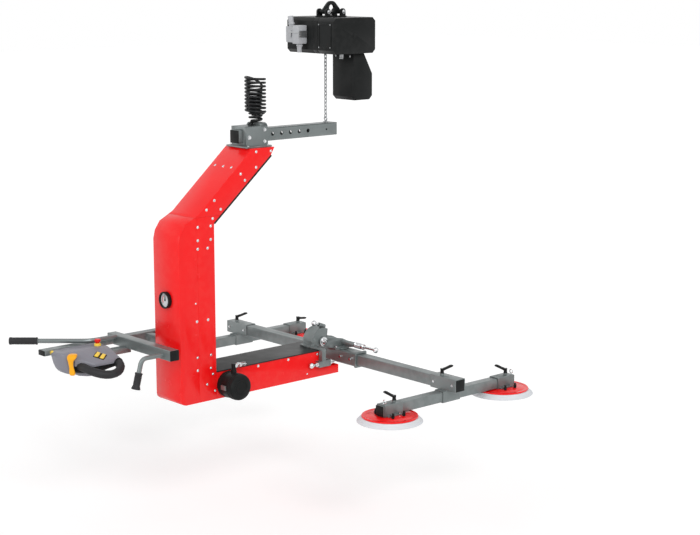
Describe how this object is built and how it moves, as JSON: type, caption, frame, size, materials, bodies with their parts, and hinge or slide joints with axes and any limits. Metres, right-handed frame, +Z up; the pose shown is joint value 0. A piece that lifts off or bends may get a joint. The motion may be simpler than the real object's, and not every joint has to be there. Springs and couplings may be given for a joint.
{
  "type": "vacuum lifter",
  "caption": "Vacuum lifter hung from a chain hoist: kinked red column with beam, operator handles, control unit, and a tilting, turning frame of suction pads for flat panes",
  "frame": {"origin": "centre of the hole in the hoist's suspension eye", "axes": "+Z up out of the eye, +Y away from the operator along the beam, +X to the operator's right"},
  "size_m": [1.53, 1.7118, 1.53],
  "materials": {
    "red_coat": "glossy red powder coat",
    "black_coat": "satin black powder coat",
    "zinc": "satin zinc plating",
    "steel": "plain steel",
    "bright_steel": "polished steel",
    "pump_aluminium": "cast aluminium",
    "black_plastic": "matte black",
    "grey_plastic": "satin grey",
    "light_grey_plastic": "satin light grey",
    "orange_plastic": "glossy orange",
    "yellow_plastic": "glossy yellow",
    "red_plastic": "glossy red",
    "grip_rubber": "matte dark grey",
    "cable_rubber": "satin black",
    "white_rubber": "smooth off-white"
  },
  "bodies": {
    "hoist": {"hoist_motor_cover": "black_coat", "hoist_gear_case": "black_coat", "hoist_motor": "steel", "suspension_bracket": "black_coat", "suspension_eye": "black_coat", "connector_box": "light_grey_plastic", "chain_container": "black_plastic"},
    "wheel": {"chain_wheel": "steel"},
    "chain": {"load_chain": "steel"},
    "load_arm": {"load_tube": "zinc"},
    "frame": {"head_housing": "zinc", "spiral_cable": "cable_rubber", "cable_connector": "black_plastic", "arm_cover": "red_coat", "column_channel": "red_coat", "column_front_cover": "red_coat", "beam_channel": "red_coat", "beam_top_cover": "black_coat", "vacuum_pump": "pump_aluminium", "gauge_case": "black_plastic", "filter_housing": "black_plastic", "handle_frame": "zinc", "left_grip": "grip_rubber", "down_grip": "grip_rubber", "control_housing": "grey_plastic", "control_d_handle": "grip_rubber", "beam_end_bracket": "zinc"},
    "needle": {"gauge_needle": "black_plastic"},
    "lever": {"control_lever": "orange_plastic"},
    "suction_key": {"suction_button": "yellow_plastic"},
    "release_key": {"release_button": "yellow_plastic"},
    "stop_key": {"stop_button": "red_plastic"},
    "tilt_lock": {"tilt_plunger": "bright_steel"},
    "hood_lock": {"hood_plunger": "bright_steel"},
    "head": {"tilt_head": "zinc"},
    "rotation_lock": {"rotation_plunger": "bright_steel"},
    "hub": {"rotation_hub": "zinc", "traverse_tube": "zinc"},
    "cross_left": {"cross_slider_left": "zinc", "cross_tube_left": "zinc"},
    "cross_right": {"cross_slider_right": "zinc", "cross_tube_right": "zinc"},
    "cross_clamp_left": {"traverse_lever_left": "black_plastic"},
    "cross_clamp_right": {"traverse_lever_right": "black_plastic"},
    "pad_front_left": {"pad_carrier_front_left": "zinc", "pad_disc_front_left": "red_coat", "pad_lip_front_left": "white_rubber"},
    "pad_front_right": {"pad_carrier_front_right": "zinc", "pad_disc_front_right": "red_coat", "pad_lip_front_right": "white_rubber"},
    "pad_back_left": {"pad_carrier_back_left": "zinc", "pad_disc_back_left": "red_coat", "pad_lip_back_left": "white_rubber"},
    "pad_back_right": {"pad_carrier_back_right": "zinc", "pad_disc_back_right": "red_coat", "pad_lip_back_right": "white_rubber"},
    "clamp_front_left": {"pad_lever_front_left": "black_plastic"},
    "clamp_front_right": {"pad_lever_front_right": "black_plastic"},
    "clamp_back_left": {"pad_lever_back_left": "black_plastic"},
    "clamp_back_right": {"pad_lever_back_right": "black_plastic"}
  },
  "joints": [
    {"name": "hoist_lift", "type": "slide", "parent": "hoist", "child": "chain", "axis": [0, 0, 1], "range_m": [-0.06, 0.03]},
    {"name": "chain_wheel_turn", "type": "hinge", "parent": "hoist", "child": "wheel", "pos_m": [0, 0, -0.104], "axis": [1, 0, 0], "range_deg": [-60, 120]},
    {"name": "chain_swivel", "type": "hinge", "parent": "chain", "child": "load_arm", "pos_m": [0, -0.03, -0.45], "axis": [0, 0, 1], "continuous": true},
    {"name": "balance_slide", "type": "slide", "parent": "load_arm", "child": "frame", "axis": [0, 1, 0], "range_m": [0, 0.09]},
    {"name": "needle_turn", "type": "hinge", "parent": "frame", "child": "needle", "pos_m": [0, -0.8293, -1.064], "axis": [0, 1, 0], "range_deg": [-120, 120]},
    {"name": "lever_swing", "type": "hinge", "parent": "frame", "child": "lever", "pos_m": [-0.13421, -1.15763, -1.255], "axis": [-0.7071, 0.7071, 0], "range_deg": [0, 25]},
    {"name": "suction_press", "type": "slide", "parent": "frame", "child": "suction_key", "axis": [-0.3534, 0, -0.9355], "range_m": [0, 0.003], "stiffness_N_per_m": 500},
    {"name": "release_press", "type": "slide", "parent": "frame", "child": "release_key", "axis": [-0.3534, 0, -0.9355], "range_m": [0, 0.003], "stiffness_N_per_m": 500},
    {"name": "stop_press", "type": "slide", "parent": "frame", "child": "stop_key", "axis": [0, 0, -1], "range_m": [0, 0.004], "stiffness_N_per_m": 800},
    {"name": "tilt_lock_pull", "type": "slide", "parent": "frame", "child": "tilt_lock", "axis": [0, -1, 0], "range_m": [0, 0.01], "stiffness_N_per_m": 1500},
    {"name": "hood_lock_pull", "type": "slide", "parent": "frame", "child": "hood_lock", "axis": [0, -0.9348, 0.3551], "range_m": [0, 0.01], "stiffness_N_per_m": 1500},
    {"name": "tilt", "type": "hinge", "parent": "frame", "child": "head", "pos_m": [0, -0.075, -1.336], "axis": [1, 0, 0], "range_deg": [0, 90]},
    {"name": "rotation_lock_pull", "type": "slide", "parent": "head", "child": "rotation_lock", "axis": [1, 0, 0], "range_m": [0, 0.01], "stiffness_N_per_m": 1500},
    {"name": "rotation", "type": "hinge", "parent": "head", "child": "hub", "pos_m": [0, 0.03, -1.3756], "axis": [0, 0, 1], "range_deg": [-8, 8]},
    {"name": "cross_left_slide", "type": "slide", "parent": "hub", "child": "cross_left", "axis": [1, 0, 0], "range_m": [0, 0.3]},
    {"name": "cross_right_slide", "type": "slide", "parent": "hub", "child": "cross_right", "axis": [-1, 0, 0], "range_m": [0, 0.3]},
    {"name": "cross_clamp_left_turn", "type": "hinge", "parent": "cross_left", "child": "cross_clamp_left", "pos_m": [-0.67, 0.03, -1.3765], "axis": [0, 0, 1], "range_deg": [-60, 60]},
    {"name": "cross_clamp_right_turn", "type": "hinge", "parent": "cross_right", "child": "cross_clamp_right", "pos_m": [0.61, 0.03, -1.3765], "axis": [0, 0, 1], "range_deg": [-60, 60]},
    {"name": "pad_front_left_slide", "type": "slide", "parent": "cross_left", "child": "pad_front_left", "axis": [0, 1, 0], "range_m": [0, 0.17]},
    {"name": "pad_front_right_slide", "type": "slide", "parent": "cross_right", "child": "pad_front_right", "axis": [0, 1, 0], "range_m": [0, 0.17]},
    {"name": "pad_back_left_slide", "type": "slide", "parent": "cross_left", "child": "pad_back_left", "axis": [0, -1, 0], "range_m": [0, 0.17]},
    {"name": "pad_back_right_slide", "type": "slide", "parent": "cross_right", "child": "pad_back_right", "axis": [0, -1, 0], "range_m": [0, 0.17]},
    {"name": "clamp_front_left_turn", "type": "hinge", "parent": "pad_front_left", "child": "clamp_front_left", "pos_m": [-0.64, -0.252, -1.4255], "axis": [0, 0, 1], "range_deg": [-60, 60]},
    {"name": "clamp_front_right_turn", "type": "hinge", "parent": "pad_front_right", "child": "clamp_front_right", "pos_m": [0.64, -0.252, -1.4255], "axis": [0, 0, 1], "range_deg": [-60, 60]},
    {"name": "clamp_back_left_turn", "type": "hinge", "parent": "pad_back_left", "child": "clamp_back_left", "pos_m": [-0.64, 0.356, -1.4255], "axis": [0, 0, 1], "range_deg": [-60, 60]},
    {"name": "clamp_back_right_turn", "type": "hinge", "parent": "pad_back_right", "child": "clamp_back_right", "pos_m": [0.64, 0.356, -1.4255], "axis": [0, 0, 1], "range_deg": [-60, 60]}
  ],
  "couplings": [
    {"joint": "chain_wheel_turn", "follows": "hoist_lift", "rad_per_m": -33.333}
  ]
}
